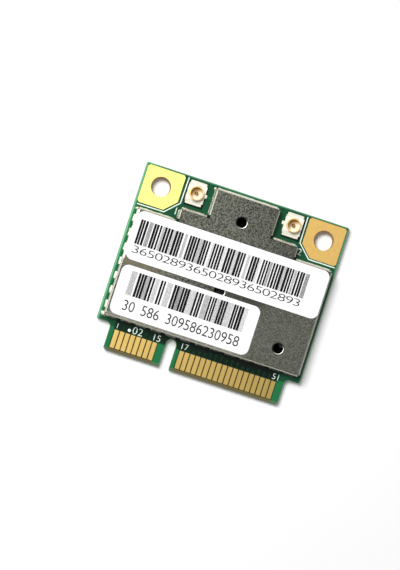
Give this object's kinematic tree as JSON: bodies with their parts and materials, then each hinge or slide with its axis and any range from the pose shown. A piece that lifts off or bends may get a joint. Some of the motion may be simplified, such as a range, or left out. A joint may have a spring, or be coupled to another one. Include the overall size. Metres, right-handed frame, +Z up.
{
  "type": "laptop wifi card",
  "caption": "Half-length wireless network card for a laptop: a green circuit board with an edge connector, a soldered shield can, two coaxial antenna jacks and two labels.",
  "frame": {"origin": "centre of the board's underside, on the surface that the card lies on", "axes": "+X across the card, to the right when the contacts point at the viewer; +Y from the contacts to the antenna end; +Z up out of the component side"},
  "size_m": [0.03, 0.0268, 0.0029],
  "materials": {
    "solder_mask": "satin",
    "gold": "satin",
    "tinplate": "matte",
    "solder": "satin",
    "label": "satin",
    "insulator": "matte",
    "chip_black": "matte",
    "ceramic": "matte",
    "ferrite": "matte"
  },
  "bodies": {
    "root": {"left_ground_plating": "gold", "right_ground_plating": "gold", "board": "solder_mask", "top_contacts_short": "gold", "top_contacts_long": "gold", "bottom_contacts_short": "gold", "bottom_contacts_long": "gold", "test_pads": "gold", "shield_frame": "tinplate", "shield_lid": "tinplate", "shield_solder": "solder", "upper_label": "label", "lower_label": "label", "left_jack_base": "insulator", "right_jack_base": "insulator", "left_jack_shell": "gold", "right_jack_shell": "gold", "left_jack_pin": "gold", "right_jack_pin": "gold", "radio_chip": "chip_black", "memory_chip": "chip_black", "regulator": "chip_black", "left_amplifier": "chip_black", "right_amplifier": "chip_black", "antenna_switch": "chip_black", "left_filter": "ceramic", "right_filter": "ceramic", "capacitors": "ceramic", "resistors": "ceramic", "crystal": "tinplate", "inductor": "ferrite"}
  },
  "joints": []
}
